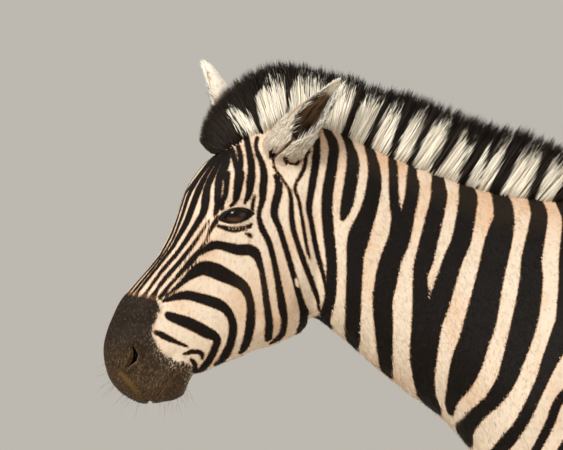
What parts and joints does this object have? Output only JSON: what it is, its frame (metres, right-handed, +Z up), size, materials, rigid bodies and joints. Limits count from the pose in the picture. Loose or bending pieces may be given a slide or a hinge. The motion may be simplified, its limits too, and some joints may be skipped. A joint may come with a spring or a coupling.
{
  "type": "zebra",
  "caption": "Standing plains zebra with a striped coat, an upright mane, one ear laid back and one pricked, and a tufted tail.",
  "frame": {"origin": "on the ground, under the middle of the animal's bounding box", "axes": "+Z up, the animal faces -Y, its left side is +X"},
  "size_m": [0.536, 2.0937, 1.592],
  "materials": {
    "coat": "short cream hair with black stripes, lying flat",
    "dark_skin": "short velvety brown-black hair over dark skin",
    "mane": "coarse upright hair, black with cream bands",
    "eye": "wet and dark brown",
    "hoof": "worn dark grey horn"
  },
  "bodies": {
    "root": {"muzzle": "dark_skin", "chin": "dark_skin", "head": "coat", "neck_upper": "coat", "neck_lower": "coat", "chest": "coat", "barrel": "coat", "hindquarters": "coat", "eye_left": "eye", "eye_right": "eye", "ear_left": "coat", "ear_right": "coat", "forelock": "mane", "mane_upper": "mane", "mane_lower": "mane", "fore_left_forearm": "coat", "fore_left_cannon": "coat", "fore_left_hoof": "hoof", "fore_right_forearm": "coat", "fore_right_cannon": "coat", "fore_right_hoof": "hoof", "hind_left_thigh": "coat", "hind_left_cannon": "coat", "hind_left_hoof": "hoof", "hind_right_thigh": "coat", "hind_right_cannon": "coat", "hind_right_hoof": "hoof", "tail_dock": "coat", "tail_tuft": "mane"}
  },
  "joints": []
}
